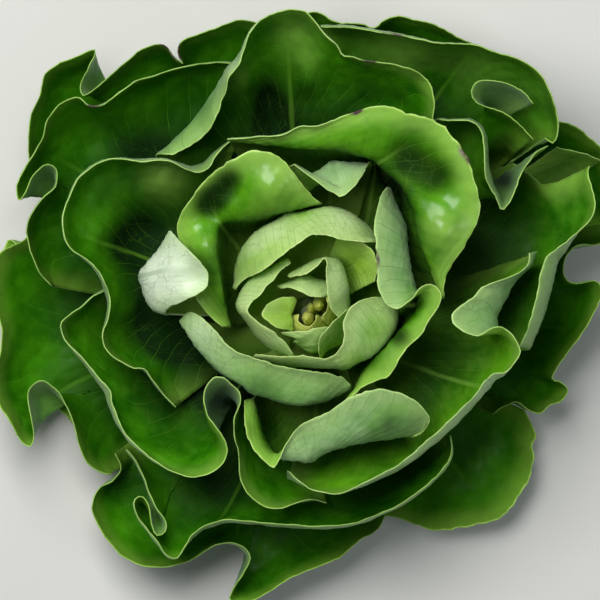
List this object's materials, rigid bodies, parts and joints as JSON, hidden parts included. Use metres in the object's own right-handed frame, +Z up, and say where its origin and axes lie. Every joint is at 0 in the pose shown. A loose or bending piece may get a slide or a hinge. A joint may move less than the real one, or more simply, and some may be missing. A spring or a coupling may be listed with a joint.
{
  "type": "butterhead lettuce",
  "caption": "Open butterhead lettuce head, whole as picked: waved green outer leaves round a curled pale heart on a short cut stem, standing on its cut face.",
  "frame": {"origin": "centre of the stem's cut face, which the head stands on", "axes": "+Z up along the stem, +X and +Y across the open head"},
  "size_m": [0.2953, 0.2749, 0.1242],
  "materials": {
    "heart_leaf": "pale yellow-green living leaf, soft satin",
    "inner_leaf": "bright green living leaf, glossy where it curls",
    "outer_leaf": "deep green living leaf, paler grey-green beneath, soft gloss",
    "stem": "pale moist stem with a plain cut face"
  },
  "bodies": {
    "root": {"stem": "stem", "leaf_heart_bud": "heart_leaf", "leaf_heart_bud_east": "heart_leaf", "leaf_heart_west": "heart_leaf", "leaf_heart_north": "heart_leaf", "leaf_heart_south": "heart_leaf", "leaf_heart_north_east": "heart_leaf", "leaf_heart_green": "heart_leaf", "leaf_heart_loop": "heart_leaf", "leaf_heart_strip": "heart_leaf", "leaf_heart_funnel": "heart_leaf", "leaf_heart_crown": "heart_leaf", "leaf_inner_north_west": "inner_leaf", "leaf_inner_north_pale": "inner_leaf", "leaf_inner_south_west": "inner_leaf", "leaf_inner_east": "inner_leaf", "leaf_inner_south": "inner_leaf", "leaf_inner_west_pale": "inner_leaf", "leaf_inner_north_east": "inner_leaf", "leaf_inner_south_east": "inner_leaf", "leaf_mid_west": "outer_leaf", "leaf_mid_south_west": "outer_leaf", "leaf_mid_north": "outer_leaf", "leaf_mid_north_east": "outer_leaf", "leaf_mid_east": "outer_leaf", "leaf_mid_east_back": "outer_leaf", "leaf_outer_south_west": "outer_leaf", "leaf_outer_east_curl": "outer_leaf", "leaf_outer_east_long": "outer_leaf", "leaf_outer_north_west": "outer_leaf", "leaf_outer_south": "outer_leaf", "leaf_outer_west": "outer_leaf", "leaf_outer_north_back": "outer_leaf", "leaf_outer_far_west": "outer_leaf", "leaf_outer_east_low": "outer_leaf", "leaf_outer_south_east": "outer_leaf", "leaf_outer_far_east": "outer_leaf", "leaf_low_north": "outer_leaf", "leaf_low_west": "outer_leaf", "leaf_low_south": "outer_leaf", "leaf_low_east": "outer_leaf"}
  },
  "joints": []
}
